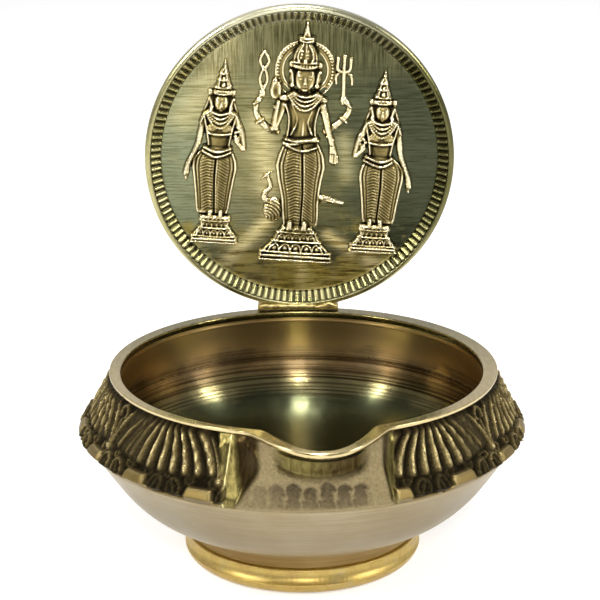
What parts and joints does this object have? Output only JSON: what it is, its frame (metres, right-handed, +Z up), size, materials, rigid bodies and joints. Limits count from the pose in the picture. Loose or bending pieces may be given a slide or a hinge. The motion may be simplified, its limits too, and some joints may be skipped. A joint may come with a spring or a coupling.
{
  "type": "brass oil lamp",
  "caption": "Small cast brass oil lamp: open bowl with pinched spout and fluted petal band on a ring foot, with an upright relief medallion brazed to the back of the rim.",
  "frame": {"origin": "on the surface that the lamp stands on, under the bowl's axis", "axes": "+Z up along the bowl's axis, -Y towards the spout, +Y towards the medallion, +X to the right of the medallion's face as seen from the spout"},
  "size_m": [0.0895, 0.0898, 0.1049],
  "materials": {
    "cast_brass": "cast, with a turned satin belly, a polished inside and a darkened petal band",
    "turned_brass": "turned and polished",
    "struck_brass": "brushed ground with a polished border",
    "relief_brass": "bright high points, darkened hollows",
    "braze_metal": "ragged braze, filed bright in front"
  },
  "bodies": {
    "root": {"bowl": "cast_brass", "foot_ring": "turned_brass", "medallion_disc": "struck_brass", "deity_relief": "relief_brass", "left_attendant_relief": "relief_brass", "right_attendant_relief": "relief_brass", "braze_saddle": "braze_metal"}
  },
  "joints": []
}
